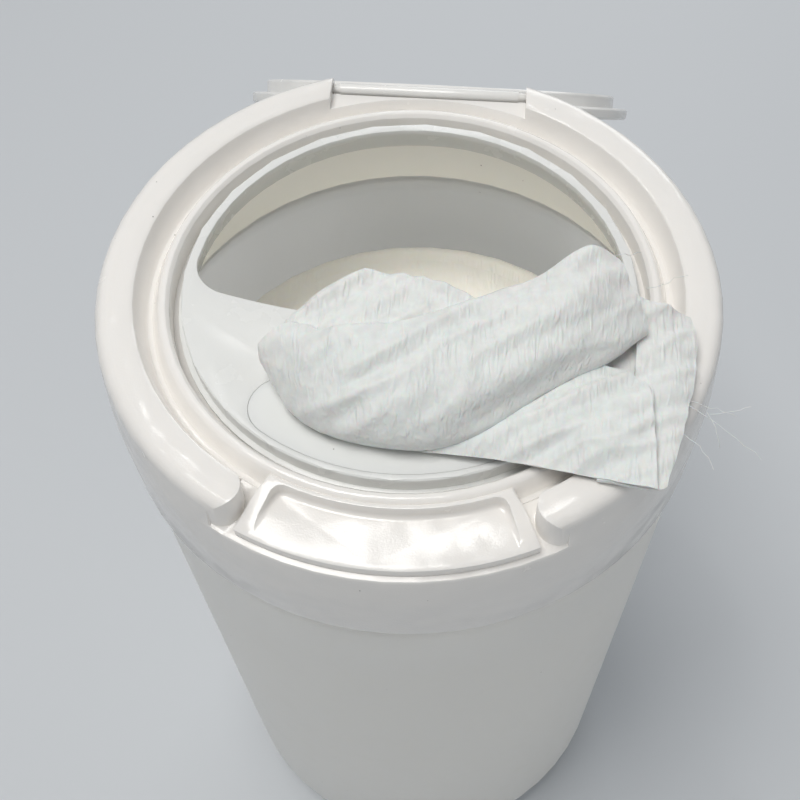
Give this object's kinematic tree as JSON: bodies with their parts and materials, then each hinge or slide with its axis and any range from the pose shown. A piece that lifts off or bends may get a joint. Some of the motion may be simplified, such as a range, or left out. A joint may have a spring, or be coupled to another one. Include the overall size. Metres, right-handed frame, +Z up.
{
  "type": "wipes canister",
  "caption": "White wide-mouth wipes canister with a hinged flip lid standing open, a snap-in dispenser plate with a soft slit membrane and a moist wipe pulled up from the roll inside.",
  "frame": {"origin": "Centre of the flat panel pushed up into the bottle's base, 3 mm above the foot ring", "axes": "+Z up along the canister's axis, +Y from the thumb recess to the lid hinge, +X to the right seen from the front"},
  "size_m": [0.1222, 0.1991, 0.2312],
  "materials": {
    "bottle_plastic": "satin translucent white",
    "cap_plastic": "gloss warm white",
    "insert_plastic": "semi-gloss cool white",
    "membrane_rubber": "soft matte white",
    "roll_cloth": "moist cream nonwoven",
    "wipe_cloth": "moist white nonwoven"
  },
  "bodies": {
    "bottle": {"bottle": "bottle_plastic", "wipe_roll": "roll_cloth"},
    "cap": {"cap_collar": "cap_plastic", "insert_plate": "insert_plastic", "slit_membrane": "membrane_rubber", "pulled_wipe": "wipe_cloth"},
    "lid": {"flip_lid": "cap_plastic"}
  },
  "joints": [
    {"name": "cap_lift", "type": "slide", "parent": "bottle", "child": "cap", "axis": [0, 0, 1], "range_m": [0, 0.03]},
    {"name": "lid_hinge", "type": "hinge", "parent": "cap", "child": "lid", "pos_m": [0, 0.054, 0.2115], "axis": [1, 0, 0], "range_deg": [0, 220.5], "deforming": ["pulled_wipe"]}
  ]
}
